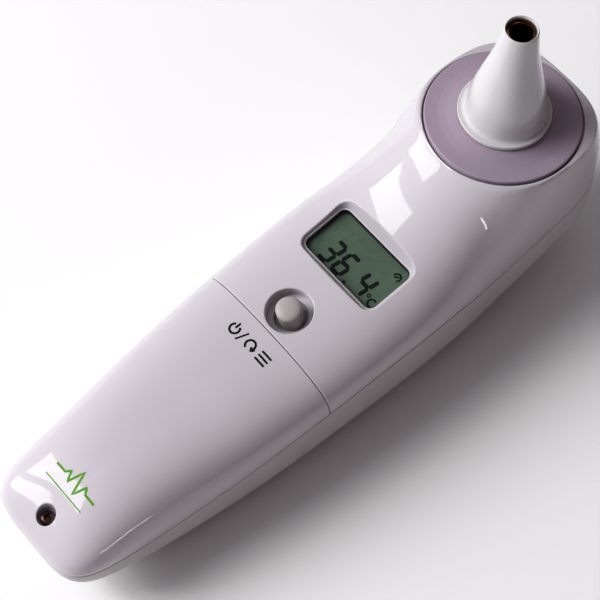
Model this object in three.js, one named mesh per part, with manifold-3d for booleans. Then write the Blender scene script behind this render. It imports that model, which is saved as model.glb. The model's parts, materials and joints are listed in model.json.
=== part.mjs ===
// Digital ear thermometer, lying on its back: a two-shell handle with a battery door, a round head
// and an ear probe that points up. Millimetres, +Z up, +X from the tail of the handle to the head.
import * as THREE from "three";
import { mergeVertices } from "three/addons/utils/BufferGeometryUtils.js";
import Module from "manifold-3d";

const wasm = await Module();
wasm.setup();

// ---------------------------------------------------------------- driving dimensions
// Body outline: x is measured from the tail end. Each row is one station along the body. arch is how
// square the section above the parting line is: 2 is an ellipse, and more is boxier.
const bodyStations = [
  { x: 0, halfWidth: 14.5, crown: 20.5, parting: 16.4, back: 10.0, arch: 2.75 },
  { x: 20, halfWidth: 16.6, crown: 26.5, parting: 14.8, back: 3.0, arch: 2.75 },
  { x: 45, halfWidth: 19.2, crown: 28.4, parting: 17.6, back: 0.0, arch: 2.75 },
  { x: 68, halfWidth: 20.5, crown: 29.4, parting: 20.1, back: -0.6, arch: 2.75 },
  { x: 90, halfWidth: 21.0, crown: 32.0, parting: 21.5, back: -0.6, arch: 2.5 },
  { x: 98, halfWidth: 20.8, crown: 35.0, parting: 21.4, back: -0.6, arch: 2.2 },
  { x: 106, halfWidth: 20.4, crown: 39.5, parting: 20.6, back: 0.0, arch: 2.2 },
  { x: 114, halfWidth: 19.9, crown: 45.3, parting: 20.5, back: 1.6, arch: 2.35 },
  { x: 128, halfWidth: 19.7, crown: 59.5, parting: 23.7, back: 5.6, arch: 2.6 },
  { x: 150, halfWidth: 19.7, crown: 59.5, parting: 28.4, back: 15.0, arch: 2.6 },
];
const tailReach = 16.5; // the tail end is a squarish cap this long
const tailSquareness = 4.6;
const headCentre = 128;
const headReach = 21.7; // from the head centre to the head end
const headSquareness = 3;
const backSquareness = 4.4;
const wall = 2;
const gap = 0.3; // between pieces that touch on the real thing
const overallLength = 150.7; // tail end to the middle of the scan button

const seam = 64.5; // where the battery door meets the front shell
const plasticDetail = 32; // segments in a full turn

// Battery door and its screw.
const doorScrew = { x: 5.4, headTop: 20.3, headRadius: 1.65, shankRadius: 0.9, tip: 12.6 };
const doorCounterbore = 2.15;

const tongue = { y: 9, width: 5, reach: 3, top: 26.0, thickness: 1.3 };

// The face frame: its origin is the middle of the display on the face, its z is square to the face.
const faceOrigin = { x: 89.4, z: 31.9 };
const faceSlope = THREE.MathUtils.degToRad(7);
const display = { width: 22.0, height: 12.3, corner: 1.8, depth: 2.0, bevelWidth: 24.0, bevelHeight: 14.9 };
const recall = { x: -18.8, wellRadius: 5.15, wellDepth: 3.0, capRadius: 2.9 };
const board = { left: -20.5, right: 22.5, halfWidth: 11, top: -9.0, thickness: 1.2 };

// The probe frame: its origin is the middle of the collar's rim, its z is the probe's axis.
const probeOrigin = { x: 130.6, z: 44.2 };
const probeTilt = THREE.MathUtils.degToRad(4.5);
const collarRadius = 17.0;
const plinthRadius = 10.1;
const plinthTop = 2.6;
const plinthBottom = 1.5; // underside of the cone's flange, on the collar
const deck = { radius: 18.4, top: -1.9, bottom: -4.0, bore: 7.5, end: 13 };

// Scan button: a wide oval that follows the end of the head, pressed towards the tail.
const scan = { z: 29, halfWidth: 13.2, halfHeight: 7.5, proud: 1.0, flangeBack: 141.6, flangeRim: 1.1 };

const batteryCell = { radius: 5.15, y: 5.65, z: 13.7, bodyLength: 43.2, nubLength: 0.8, nubRadius: 2.7 };
const tray = { start: 11.2, end: 63.4, halfWidth: 12.2, floor: 4, top: 15.6 };
const contact = { thickness: 0.4, bottom: 9.6, top: 17.8 };
const contactRoom = contact.thickness + 2 * gap;

const shellScrewPlaces = [
  { x: 76, y: 14.6, headSeat: 9, tip: 25 },
  { x: 76, y: -14.6, headSeat: 9, tip: 25 },
  { x: 135, y: 14.6, headSeat: 18.5, tip: 34 },
  { x: 135, y: -14.6, headSeat: 18.5, tip: 34 },
];

const boardScrewX = 19; // in the face frame
const boardScrewSides = [-8.5, 8.5];
const retainerScrewSides = [-10, 10];
const rearLabel = { fromX: 56, toX: 86, halfWidth: 8 };

// ---------------------------------------------------------------- materials
function plastic(colour, roughness) {
  return () => new THREE.MeshStandardMaterial({ color: colour, roughness, metalness: 0 });
}

function metal(colour, roughness) {
  return () => new THREE.MeshStandardMaterial({ color: colour, roughness, metalness: 1 });
}

const shellGloss = plastic(0xcdc9d0, 0.25);
const rearSatin = plastic(0x8d857f, 0.45);
const collarMatte = plastic(0xa499a8, 0.6);
const probeGloss = plastic(0xe3e2e8, 0.2);
const buttonGrey = plastic(0xa8a39f, 0.5);
const buttonGreen = plastic(0x2e9a3a, 0.35);
const clearPlastic = plastic(0xb9c4bd, 0.08);
const displayGlass = plastic(0x566a57, 0.3);
const blackPlastic = plastic(0x26262a, 0.55);
const whitePlastic = plastic(0xd9d9d6, 0.5);
const boardGreen = plastic(0x2f6b3c, 0.5);
const elastomer = plastic(0xc9a6a6, 0.8);
const labelFilm = plastic(0xbdbcc0, 0.4);
const cellJacket = plastic(0x3f5f8c, 0.35);
const steel = metal(0xb6b8bb, 0.3);
const browned = metal(0x4a3a36, 0.45);
const gold = metal(0xc9a04a, 0.2);
const aluminium = metal(0xc2c4c6, 0.4);
const springSteel = metal(0xc8c9c6, 0.3);

// ---------------------------------------------------------------- solid helpers
function toSolid(geometry) {
  const plain = geometry.clone();
  plain.deleteAttribute("normal");
  plain.deleteAttribute("uv");
  const merged = mergeVertices(plain, 1e-4);
  const corners = Array.from(merged.index.array);
  const kept = [];
  for (let i = 0; i < corners.length; i += 3) {
    const [a, b, c] = corners.slice(i, i + 3);
    if (a !== b && b !== c && c !== a) kept.push(a, b, c);
  }
  return new wasm.Manifold(
    new wasm.Mesh({
      numProp: 3,
      vertProperties: new Float32Array(merged.attributes.position.array),
      triVerts: new Uint32Array(kept),
    }),
  );
}

function toGeometry(solid) {
  const mesh = solid.getMesh();
  const geometry = new THREE.BufferGeometry();
  geometry.setAttribute("position", new THREE.BufferAttribute(new Float32Array(mesh.vertProperties), 3));
  geometry.setIndex(new THREE.BufferAttribute(new Uint32Array(mesh.triVerts), 1));
  geometry.computeVertexNormals();
  return geometry;
}

// A round bar along z, from one height to another.
function bar(radius, from, to, x = 0, y = 0, segments = plasticDetail) {
  const geometry = new THREE.CylinderGeometry(radius, radius, Math.abs(to - from), segments);
  return geometry.rotateX(Math.PI / 2).translate(x, y, (from + to) / 2);
}

function block(fromX, toX, fromY, toY, fromZ, toZ) {
  const geometry = new THREE.BoxGeometry(toX - fromX, toY - fromY, toZ - fromZ);
  return geometry.translate((fromX + toX) / 2, (fromY + toY) / 2, (fromZ + toZ) / 2);
}

// A turned piece about z. The profile is a closed list of [radius, height] pairs.
function turned(profile, segments = plasticDetail) {
  const closed = [...profile, profile[0]].map(([radius, height]) => new THREE.Vector2(radius, height));
  return new THREE.LatheGeometry(closed, segments).rotateX(Math.PI / 2);
}

// Joins rings of equal point count, and closes the first and last ring with a fan.
function ringLoft(rings) {
  const count = rings[0].length;
  const points = rings.flat();
  const triangles = [];
  for (let level = 0; level + 1 < rings.length; level++) {
    for (let i = 0; i < count; i++) {
      const a = level * count + i;
      const b = level * count + ((i + 1) % count);
      triangles.push(a, b, a + count, b, b + count, a + count);
    }
  }
  const lastRing = (rings.length - 1) * count;
  for (let i = 1; i + 1 < count; i++) {
    triangles.push(0, i + 1, i);
    triangles.push(lastRing, lastRing + i, lastRing + i + 1);
  }
  const geometry = new THREE.BufferGeometry();
  geometry.setAttribute("position", new THREE.Float32BufferAttribute(points.flat(), 3));
  geometry.setIndex(triangles);
  return geometry;
}

function inFaceFrame(geometry) {
  return geometry.rotateY(-faceSlope).translate(faceOrigin.x, 0, faceOrigin.z);
}

function inProbeFrame(geometry) {
  return geometry.rotateY(probeTilt).translate(probeOrigin.x, 0, probeOrigin.z);
}

// ---------------------------------------------------------------- the body's outer form
// A smooth curve through one column of the stations.
function alongBody(column, x) {
  const rows = bodyStations;
  const last = rows.length - 1;
  let i = 0;
  while (i < last - 1 && x > rows[i + 1].x) i++;
  const slopeAt = (k) => {
    const before = rows[Math.max(k - 1, 0)];
    const after = rows[Math.min(k + 1, last)];
    return (after[column] - before[column]) / (after.x - before.x);
  };
  const span = rows[i + 1].x - rows[i].x;
  const t = THREE.MathUtils.clamp((x - rows[i].x) / span, 0, 1);
  const start = rows[i][column];
  const end = rows[i + 1][column];
  return (
    (2 * t ** 3 - 3 * t ** 2 + 1) * start +
    (t ** 3 - 2 * t ** 2 + t) * span * slopeAt(i) +
    (3 * t ** 2 - 2 * t ** 3) * end +
    (t ** 3 - t ** 2) * span * slopeAt(i + 1)
  );
}

// The point of a unit superellipse in the direction of angle, as [along, across].
function superellipse(angle, squareness) {
  const c = Math.cos(angle);
  const s = Math.sin(angle);
  const size = (c ** squareness + s ** squareness) ** (-1 / squareness);
  return [c * size, s * size];
}

// One side of the parting line, from the middle of the tail to the middle of the head end.
// Each point also names the place on the centre line that its section rises to.
function rimSide(inset, steps) {
  const points = [];
  for (let i = 0; i <= steps.tail; i++) {
    const [forward, sideways] = superellipse((Math.PI / 2) * (i / steps.tail), tailSquareness);
    const x = tailReach - (tailReach - inset) * forward;
    const reach = alongBody("halfWidth", x) - inset;
    points.push({ x, y: -reach * sideways, spine: tailReach });
  }
  for (let i = 1; i <= steps.side; i++) {
    const x = tailReach + ((headCentre - tailReach) * i) / steps.side;
    points.push({ x, y: inset - alongBody("halfWidth", x), spine: x });
  }
  for (let i = 1; i <= steps.head; i++) {
    const [sideways, forward] = superellipse((Math.PI / 2) * (i / steps.head), headSquareness);
    const x = headCentre + (headReach - inset) * forward;
    const reach = alongBody("halfWidth", headCentre) - inset;
    points.push({ x, y: i === steps.head ? 0 : -reach * sideways, spine: headCentre });
  }
  points[0].y = 0;
  return points;
}

const coarse = { tail: 5, side: 14, head: 8, profile: 7 };
const coarseInner = { tail: 4, side: 10, head: 6, profile: 5 };

// Half of the body as a closed solid: side is +1 above the parting line and -1 below it.
// baseShift moves the parting face up or down.
function bodyHalf(side, inset, baseShift, steps) {
  const right = rimSide(inset, steps);
  const left = right.slice(1, -1).reverse().map((point) => ({ ...point, y: -point.y }));
  const loop = [...right, ...left];
  // The first ring is the parting face's edge, and the last is the centre line on the far side.
  const rings = [];
  for (let level = 0; level <= steps.profile + 1; level++) {
    const angle = (Math.PI / 2) * (Math.max(level - 1, 0) / steps.profile);
    const ring = loop.map((point) => {
      const squareness = side > 0 ? alongBody("arch", point.spine) : backSquareness;
      const [across, rise] = superellipse(angle, squareness);
      const reach = level === 0 || level > steps.profile ? 0 : across;
      const x = point.spine + reach * (point.x - point.spine);
      const base = alongBody("parting", x) + baseShift;
      const crown = alongBody("crown", Math.min(x, headCentre)) - inset;
      const far = side > 0 ? crown : alongBody("back", x) + inset;
      const z = base + rise * (far - base);
      return [x, reach * point.y, side > 0 ? z : Math.max(z, inset)];
    });
    rings.push(ring);
  }
  if (side < 0) rings.forEach((ring) => ring.reverse());
  return ringLoft(rings);
}

// The outer form with the head cut flat for the collar.
const aboveCollar = toSolid(inProbeFrame(block(-30, 30, -30, 30, -0.6, 40)));
const frontOuter = toSolid(bodyHalf(1, 0, gap / 2, coarse)).subtract(aboveCollar);
const rearOuter = toSolid(bodyHalf(-1, 0, -gap / 2, coarse));
const frontHollow = toSolid(bodyHalf(1, wall, -1, coarseInner));
const rearHollow = toSolid(bodyHalf(-1, wall, 1, coarseInner));

function tailSideOf(x) {
  return toSolid(block(-5, x, -30, 30, -5, 80));
}

function headSideOf(x) {
  return toSolid(block(x, 160, -30, 30, -5, 80));
}

// A rounded rectangle as a ring of points at one height, width across y and height along x.
function roundedRing(width, height, corner, z) {
  const ring = [];
  const perCorner = 4;
  const centres = [
    [height / 2 - corner, width / 2 - corner],
    [corner - height / 2, width / 2 - corner],
    [corner - height / 2, corner - width / 2],
    [height / 2 - corner, corner - width / 2],
  ];
  centres.forEach(([x, y], quarter) => {
    for (let i = 0; i <= perCorner; i++) {
      const angle = (Math.PI / 2) * (quarter + i / perCorner);
      ring.push([x + corner * Math.cos(angle), y + corner * Math.sin(angle), z]);
    }
  });
  return ring;
}

// An oval bar along x for the scan button and the openings round it.
function ovalBar(halfWidth, halfHeight, fromX, toX, segments = 24) {
  const ring = (x) => {
    const points = [];
    for (let i = 0; i < segments; i++) {
      const angle = (2 * Math.PI * i) / segments;
      points.push([x, halfWidth * Math.cos(angle), scan.z + halfHeight * Math.sin(angle)]);
    }
    return points;
  };
  return ringLoft([ring(fromX), ring(toX)]);
}

// How far the body's head end reaches at a place on it.
function headEndAt(y, z) {
  const halfWidth = alongBody("halfWidth", headCentre);
  let x = headCentre + headReach;
  for (let pass = 0; pass < 8; pass++) {
    const base = alongBody("parting", x);
    const far = z > base ? alongBody("crown", headCentre) : alongBody("back", x);
    const squareness = z > base ? alongBody("arch", headCentre) : backSquareness;
    const rise = Math.min((z - base) / (far - base), 0.99);
    const reach = (1 - rise ** squareness) ** (1 / squareness);
    const side = Math.min(Math.abs(y) / (reach * halfWidth), 0.99);
    x = headCentre + reach * headReach * (1 - side ** headSquareness) ** (1 / headSquareness);
  }
  return x;
}

// ---------------------------------------------------------------- shells and door
function frontShell() {
  const headDeck = toSolid(inProbeFrame(bar(deck.radius, deck.bottom, deck.top + 1)))
    .intersect(frontOuter)
    .intersect(toSolid(block(100, probeOrigin.x + deck.end, -30, 30, 0, 80)));
  const wellCup = toSolid(
    inFaceFrame(bar(recall.wellRadius + 1, -recall.wellDepth - 1, 2, recall.x)),
  ).intersect(frontOuter);
  const displayFrame = toSolid(
    inFaceFrame(block(-9.2, 11.5, -13.6, 13.6, -display.depth, 12)),
  ).intersect(frontOuter);
  let shell = frontOuter.subtract(frontHollow).add(headDeck).add(wellCup).add(displayFrame);
  for (const { x, y } of shellScrewPlaces) {
    shell = shell.add(toSolid(bar(2.6, 15, 60, x, y, 20)).intersect(frontOuter));
  }
  for (const y of boardScrewSides) {
    const boss = toSolid(inFaceFrame(bar(2.1, board.top + gap, 20, boardScrewX, y, 20)));
    shell = shell.add(boss.intersect(frontOuter));
  }
  const cuts = [
    inFaceFrame(bar(recall.wellRadius, -recall.wellDepth, 5, recall.x)),
    inFaceFrame(bar(recall.capRadius + 0.4, -10, 5, recall.x)),
    inFaceFrame(
      ringLoft([
        roundedRing(display.width, display.height, display.corner, -6),
        roundedRing(display.width, display.height, display.corner, -display.depth),
        roundedRing(display.bevelWidth, display.bevelHeight, display.corner + 1, 0),
        roundedRing(display.bevelWidth + 0.4, display.bevelHeight + 0.4, display.corner + 1.2, 1),
      ]),
    ),
    inFaceFrame(block(-7.4, 7.4, -12.1, 12.1, -8, -display.depth)),
    inProbeFrame(bar(collarRadius + 0.35, deck.top, 5, 0, 0, 48)),
    inProbeFrame(bar(deck.bore, -10, 5)),
    ovalBar(scan.halfWidth + gap, scan.halfHeight + gap, 140, 160),
  ];
  for (const cut of cuts) shell = shell.subtract(toSolid(cut));
  for (const { x, y, tip } of shellScrewPlaces) {
    shell = shell.subtract(toSolid(bar(1.3, 10, tip + 1, x, y, 16)));
  }
  for (const y of boardScrewSides) {
    shell = shell.subtract(toSolid(inFaceFrame(bar(1.05, -12, -4.5, boardScrewX, y, 12))));
  }
  for (const y of retainerScrewSides) {
    shell = shell.subtract(toSolid(inProbeFrame(bar(1.05, -6, -2.6, 0, y, 12))));
  }
  return toGeometry(shell.intersect(headSideOf(seam + gap / 2)));
}

function rearShell() {
  let shell = rearOuter.subtract(rearHollow);
  for (const { x, y, headSeat } of shellScrewPlaces) {
    shell = shell.add(toSolid(bar(3.2, -1, 40, x, y, 20)).intersect(rearOuter));
    shell = shell.subtract(toSolid(bar(2.5, -2, headSeat, x, y, 20)));
    shell = shell.subtract(toSolid(bar(1.3, 0, 40, x, y, 16)));
  }
  shell = shell.add(toSolid(bar(3.6, 4, 40, doorScrew.x, 0, 20)).intersect(rearOuter));
  shell = shell.subtract(toSolid(bar(1.9, 10.8, 40, doorScrew.x, 0, 20)));
  shell = shell.subtract(toSolid(ovalBar(scan.halfWidth + gap, scan.halfHeight + gap, 140, 160)));
  const labelSide = rearLabel.halfWidth + gap;
  const labelBed = block(rearLabel.fromX - gap, rearLabel.toX + gap, -labelSide, labelSide, -1, 0.8);
  shell = shell.subtract(toSolid(labelBed));
  return toGeometry(shell);
}

function batteryDoor() {
  let door = frontOuter.subtract(frontHollow).intersect(tailSideOf(seam - gap / 2));
  door = door.add(
    toSolid(bar(doorCounterbore + 1.3, 16.6, 40, doorScrew.x, 0, 20)).intersect(frontOuter),
  );
  for (const side of [-1, 1]) {
    const middle = side * tongue.y;
    const root = block(
      seam - 5,
      seam - gap / 2,
      middle - tongue.width / 2,
      middle + tongue.width / 2,
      tongue.top - tongue.thickness,
      tongue.top + 2,
    );
    const tip = block(
      seam - 1,
      seam + tongue.reach,
      middle - tongue.width / 2,
      middle + tongue.width / 2,
      tongue.top - tongue.thickness,
      tongue.top,
    );
    door = door.add(toSolid(root).intersect(frontOuter)).add(toSolid(tip));
  }
  const headSeat = doorScrew.headTop - 1.3;
  door = door.subtract(toSolid(bar(doorCounterbore, headSeat - gap, 40, doorScrew.x, 0)));
  door = door.subtract(toSolid(bar(doorScrew.shankRadius + 0.3, 0, 40, doorScrew.x, 0, 20)));
  return toGeometry(door);
}

// ---------------------------------------------------------------- screws
// A screw standing on its tip at z = 0, with a cross recess in its head.
function screw(headRadius, headHeight, shankRadius, shankLength) {
  const top = shankLength + headHeight;
  const profile = [
    [0, 0],
    [shankRadius * 0.5, 0],
    [shankRadius, shankRadius],
    [shankRadius, shankLength],
    [headRadius, shankLength],
    [headRadius, top - headHeight * 0.35],
    [headRadius * 0.75, top],
    [0, top],
  ];
  const slotLength = headRadius * 0.62;
  const slotWidth = headRadius * 0.16;
  const slotDepth = headHeight * 0.6;
  const slotOne = block(-slotLength, slotLength, -slotWidth, slotWidth, top - slotDepth, top + 1);
  const slotTwo = block(-slotWidth, slotWidth, -slotLength, slotLength, top - slotDepth, top + 1);
  return toGeometry(toSolid(turned(profile, 12)).subtract(toSolid(slotOne).add(toSolid(slotTwo))));
}

// ---------------------------------------------------------------- buttons and switches
// The grey button: domed cap, flange that keeps it in, and a pip that reaches into the switch.
function recallButton() {
  const capTop = 1.75;
  const domeDrop = 0.75;
  const radius = recall.capRadius;
  const flangeTop = -recall.wellDepth - 1 - gap;
  const profile = [
    [0, flangeTop - 2.0],
    [1.2, flangeTop - 2.0],
    [1.2, flangeTop - 0.8],
    [4.4, flangeTop - 0.8],
    [4.4, flangeTop],
    [radius, flangeTop],
    [radius, capTop - domeDrop - 0.4],
    [radius * 0.93, capTop - domeDrop],
    [radius * 0.7, capTop - domeDrop * 0.42],
    [radius * 0.38, capTop - domeDrop * 0.1],
    [0, capTop],
  ];
  return turned(profile, 28);
}

function tactSwitch() {
  const body = toSolid(block(-3, 3, -3, 3, 0, 2.3));
  return toGeometry(body.subtract(toSolid(bar(1.6, 0.7, 3, 0, 0, 16))));
}

// The green button: its face follows the head end and stands a little proud in the middle, and its
// flange sits behind the shell wall.
function scanButton() {
  const segments = plasticDetail;
  const rings = [];
  for (const size of [1, 0.97, 0.85, 0.6, 0.3]) {
    const ring = [];
    for (let i = 0; i < segments; i++) {
      const angle = (2 * Math.PI * i) / segments;
      const y = size * scan.halfWidth * Math.cos(angle);
      const z = scan.z + size * scan.halfHeight * Math.sin(angle);
      ring.push([headEndAt(y, z) + scan.proud * (1 - size ** 6) - 0.1 * size, y, z]);
    }
    rings.push(ring);
  }
  const back = rings[0].map(([, y, z]) => [scan.flangeBack + 0.5, y, z]);
  const cap = ringLoft([back, ...rings]);
  const flange = ovalBar(
    scan.halfWidth + scan.flangeRim,
    scan.halfHeight + scan.flangeRim,
    scan.flangeBack,
    scan.flangeBack + 0.9,
    segments,
  );
  const pip = bar(1.2, scan.flangeBack - 1.2, scan.flangeBack + 0.4, 0, 0, 16);
  pip.rotateY(Math.PI / 2).translate(0, 0, scan.z);
  return toGeometry(toSolid(cap).add(toSolid(flange)).add(toSolid(pip)));
}

// ---------------------------------------------------------------- probe and sensor
function probeCone() {
  const profile = [
    [5.95, deck.bottom - gap],
    [7.0, deck.bottom - gap],
    [7.0, plinthBottom],
    [plinthRadius, plinthBottom],
    [plinthRadius, plinthTop - 0.3],
    [plinthRadius - 0.3, plinthTop],
    [9.2, plinthTop],
    [8.7, 3.2],
    [8.4, 5.5],
    [7.8, 9.5],
    [6.8, 13.5],
    [5.6, 18],
    [4.7, 22],
    [4.1, 26],
    [3.65, 29.2],
    [3.4, 29.6],
    [3.15, 29.3],
    [3.15, 27.6],
    [2.95, 27.4],
    [2.95, 8.5],
    [5.95, 5.9],
  ];
  return turned(profile, plasticDetail);
}

function probeCollar() {
  const profile = [
    [7.4, -1.6],
    [collarRadius, -1.6],
    [collarRadius, -0.3],
    [collarRadius - 0.3, 0],
    [collarRadius - 0.9, 0.05],
    [plinthRadius + 1.5, 0.8],
    [plinthRadius + 0.3, plinthBottom - gap],
    [7.4, plinthBottom - gap],
  ];
  return turned(profile, 40);
}

function waveGuide() {
  return turned(
    [
      [2.3, 3.2],
      [2.65, 3.2],
      [2.65, 28.5],
      [2.3, 28.5],
    ],
    28,
  );
}

// Thermopile in a metal can, just under the wave guide.
function sensorCan() {
  return turned([
    [0, -1.4],
    [3.2, -1.4],
    [3.2, -0.9],
    [2.7, -0.9],
    [2.7, 2.9],
    [0, 2.9],
  ], 24);
}

// Aluminium sleeve that holds the can and the wave guide in line.
function sensorBlock() {
  return turned([
    [3.5, -3.6],
    [5.6, -3.6],
    [5.6, 5.3],
    [2.95, 5.3],
    [2.95, 3.4],
    [3.5, 3.4],
  ], 28);
}

function sensorRetainer() {
  const disc = toSolid(bar(12.0, -6.0, deck.bottom - 2 * gap, 0, 0, 36));
  let plate = disc.intersect(toSolid(block(-9.5, 9.5, -13, 13, -9, 0)));
  plate = plate.subtract(toSolid(bar(2.4, -9, 0, 0, 0, 20)));
  for (const y of retainerScrewSides) plate = plate.subtract(toSolid(bar(1.05, -9, 0, 0, y, 12)));
  return toGeometry(plate);
}

// A flat cable of one thickness along a path in the xz plane.
function ribbon(path, width, thickness) {
  const outline = new THREE.Shape([
    new THREE.Vector2(-width / 2, -thickness / 2),
    new THREE.Vector2(width / 2, -thickness / 2),
    new THREE.Vector2(width / 2, thickness / 2),
    new THREE.Vector2(-width / 2, thickness / 2),
  ]);
  const extrudePath = new THREE.CatmullRomCurve3(path.map(([x, z]) => new THREE.Vector3(x, 0, z)));
  return new THREE.ExtrudeGeometry(outline, { steps: 12, bevelEnabled: false, extrudePath });
}

// ---------------------------------------------------------------- battery bay
function batteryTray() {
  const fit = toSolid(bodyHalf(-1, wall + gap, 1, coarseInner));
  const body = block(tray.start, tray.end, -tray.halfWidth, tray.halfWidth, tray.floor, tray.top);
  let solid = toSolid(body).intersect(fit);
  for (const side of [-1, 1]) {
    const channel = bar(batteryCell.radius + gap, tray.start + 1.2, tray.end - 1.2, 0, 0, 24);
    channel.rotateY(Math.PI / 2).translate(0, side * batteryCell.y, batteryCell.z);
    const mouth = block(
      tray.start + 1.2,
      tray.end - 1.2,
      side * batteryCell.y - batteryCell.radius - gap,
      side * batteryCell.y + batteryCell.radius + gap,
      batteryCell.z,
      30,
    );
    solid = solid.subtract(toSolid(channel)).subtract(toSolid(mouth));
  }
  for (const from of [tray.start + 1.2, tray.end - 1.2 - contactRoom]) {
    solid = solid.subtract(toSolid(block(from, from + contactRoom, -10.8, 10.8, contact.bottom - gap, 30)));
  }
  return toGeometry(solid);
}

// An AAA cell along x, with its nub at the end that faces direction.
function cell(direction) {
  const half = batteryCell.bodyLength / 2;
  const profile = [
    [0, -half],
    [batteryCell.radius - 0.4, -half],
    [batteryCell.radius, -half + 0.4],
    [batteryCell.radius, half - 0.4],
    [batteryCell.radius - 0.4, half],
    [batteryCell.nubRadius, half],
    [batteryCell.nubRadius, half + batteryCell.nubLength],
    [0, half + batteryCell.nubLength],
  ];
  return turned(profile, 24).rotateY((direction * Math.PI) / 2);
}

// A conical coil spring along z.
function coilSpring(wideRadius, narrowRadius, height, turns, wire) {
  const points = [];
  const stepsPerTurn = 10;
  const steps = turns * stepsPerTurn;
  for (let i = 0; i <= steps; i++) {
    const t = i / steps;
    const angle = 2 * Math.PI * turns * t;
    const radius = wideRadius + (narrowRadius - wideRadius) * t;
    const rise = wire + (height - 2 * wire) * t;
    points.push(new THREE.Vector3(radius * Math.cos(angle), radius * Math.sin(angle), rise));
  }
  const section = new THREE.Shape();
  section.absarc(0, 0, wire, 0, 2 * Math.PI);
  const extrudePath = new THREE.CatmullRomCurve3(points);
  return new THREE.ExtrudeGeometry(section, { steps, curveSegments: 3, bevelEnabled: false, extrudePath });
}

// ---------------------------------------------------------------- assembly
const thermometer = new THREE.Group();
const body = new THREE.Group();
body.position.x = -overallLength / 2;
thermometer.add(body);

const face = new THREE.Group();
face.position.set(faceOrigin.x, 0, faceOrigin.z);
face.rotation.y = -faceSlope;
body.add(face);

const probe = new THREE.Group();
probe.position.set(probeOrigin.x, 0, probeOrigin.z);
probe.rotation.y = probeTilt;
body.add(probe);

function place(parent, name, geometry, material, x = 0, y = 0, z = 0) {
  const mesh = new THREE.Mesh(geometry, material());
  mesh.name = name;
  mesh.position.set(x, y, z);
  parent.add(mesh);
  return mesh;
}

place(body, "front_shell", frontShell(), shellGloss);
place(body, "rear_shell", rearShell(), rearSatin);
place(body, "battery_door", batteryDoor(), shellGloss);
const { fromX: labelTail, toX: labelHead, halfWidth: labelReach } = rearLabel;
const label = block(labelTail, labelHead, -labelReach, labelReach, 0.2, 0.5);
place(body, "rear_label", label, labelFilm);

const doorShank = doorScrew.headTop - 1.3 - doorScrew.tip;
place(
  body,
  "door_screw",
  screw(doorScrew.headRadius, 1.3, doorScrew.shankRadius, doorShank),
  browned,
  doorScrew.x,
  0,
  doorScrew.tip,
);

shellScrewPlaces.forEach(({ x, y, headSeat, tip }, index) => {
  const length = tip - headSeat + gap;
  const fastener = place(body, `shell_screw_${index + 1}`, screw(2.1, 1.6, 1.0, length), steel, x, y, tip);
  fastener.rotation.x = Math.PI;
});

// Battery bay.
place(body, "battery_tray", batteryTray(), whitePlastic);
const bayStart = tray.start + 1.2;
const bayEnd = tray.end - 1.2;
place(
  body,
  "contact_bridge",
  block(bayStart + gap, bayStart + gap + contact.thickness, -10.4, 10.4, contact.bottom, contact.top),
  springSteel,
);
const cellRoom = { from: bayStart + contactRoom, to: bayEnd - contactRoom };
for (const [name, y] of [["contact_plus", batteryCell.y], ["contact_minus", -batteryCell.y]]) {
  const from = bayEnd - gap - contact.thickness;
  const tab = block(from, from + contact.thickness, y - 4.6, y + 4.6, contact.bottom, contact.top);
  place(body, name, tab, springSteel);
}
const half = batteryCell.bodyLength / 2;
place(
  body,
  "battery_cell_left",
  cell(1),
  cellJacket,
  cellRoom.to - batteryCell.nubLength - half,
  batteryCell.y,
  batteryCell.z,
);
place(
  body,
  "battery_cell_right",
  cell(-1),
  cellJacket,
  cellRoom.from + batteryCell.nubLength + half,
  -batteryCell.y,
  batteryCell.z,
);
const springRoom = cellRoom.to - cellRoom.from - batteryCell.bodyLength - batteryCell.nubLength - gap;
const bridgeSpring = place(
  body,
  "spring_tail",
  coilSpring(3.6, 2.4, springRoom, 3, 0.3),
  springSteel,
  cellRoom.from,
  batteryCell.y,
  batteryCell.z,
);
bridgeSpring.rotation.y = Math.PI / 2;
const minusSpring = place(
  body,
  "spring_head",
  coilSpring(3.6, 2.4, springRoom, 3, 0.3),
  springSteel,
  cellRoom.to,
  -batteryCell.y,
  batteryCell.z,
);
minusSpring.rotation.y = -Math.PI / 2;

// Display stack and board, from the face inwards.
place(face, "display_window", block(-7, 7, -11.8, 11.8, -3.3, -2.3), clearPlastic);
place(face, "lcd_panel", block(-7.2, 7.2, -12.0, 12.0, -5.4, -3.6), displayGlass);
const holder = toSolid(block(-9.2, 9.2, -10.9, 10.9, board.top + gap, -5.7)).subtract(
  toSolid(block(-7.4, 7.4, -9.6, 9.6, -12, 0)),
);
place(face, "lcd_holder", toGeometry(holder), whitePlastic);
for (const [name, x] of [["zebra_strip_tail", -6.2], ["zebra_strip_head", 6.2]]) {
  place(face, name, block(x - 0.8, x + 0.8, -9.2, 9.2, board.top + gap, -5.7), elastomer);
}
let boardSolid = toSolid(
  block(board.left, board.right, -board.halfWidth, board.halfWidth, board.top - board.thickness, board.top),
);
for (const y of boardScrewSides) {
  boardSolid = boardSolid.subtract(toSolid(bar(1.05, board.top - 2, board.top + 1, boardScrewX, y, 12)));
}
place(face, "circuit_board", toGeometry(boardSolid), boardGreen);
const underBoard = board.top - board.thickness - gap;
place(face, "controller_chip", block(-5, 5, -5, 5, underBoard - 1.4, underBoard), blackPlastic);
place(face, "crystal", block(-13, -8.5, 3, 5, underBoard - 1.8, underBoard), steel);
place(face, "memory_chip", block(-14, -8.5, -6.5, -2.5, underBoard - 1.2, underBoard), blackPlastic);
for (const [name, x, y] of [["capacitor_1", 9.5, 6], ["capacitor_2", 9.5, -6]]) {
  place(face, name, bar(1.8, underBoard - 4, underBoard, x, y, 20), aluminium);
}
place(face, "cable_socket", block(13, 17, -3, 3, underBoard - 2.4, underBoard), whitePlastic);
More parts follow.
